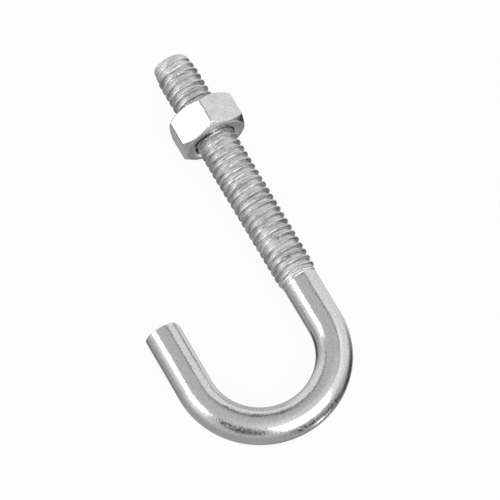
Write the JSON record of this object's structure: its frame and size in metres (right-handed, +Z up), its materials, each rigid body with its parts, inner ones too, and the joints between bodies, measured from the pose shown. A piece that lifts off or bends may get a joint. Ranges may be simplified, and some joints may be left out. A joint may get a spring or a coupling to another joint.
{
  "type": "j bolt",
  "caption": "Steel rod bent into a half-round hook with a short parallel leg, threaded along most of its straight shank, with a hex nut on the thread.",
  "frame": {"origin": "centre of the bolt's box on the surface it lies on", "axes": "+X level along the shank towards its threaded free end, which rises 3.8 degrees over the nut; +Y towards the hook's leg; +Z up"},
  "size_m": [0.0772, 0.037, 0.0149],
  "materials": {
    "plated_rod": "bright zinc plate over drawn and rolled steel, faintly mottled",
    "plated_nut": "bright zinc plate over cold-formed steel, smooth flats"
  },
  "bodies": {
    "bolt": {"j_bolt": "plated_rod"},
    "nut": {"hex_nut": "plated_nut"}
  },
  "joints": [
    {"name": "nut_travel", "type": "slide", "parent": "bolt", "child": "nut", "axis": [0.9978, 0, 0.0669], "range_m": [-0.03104, 0.01129]}
  ]
}
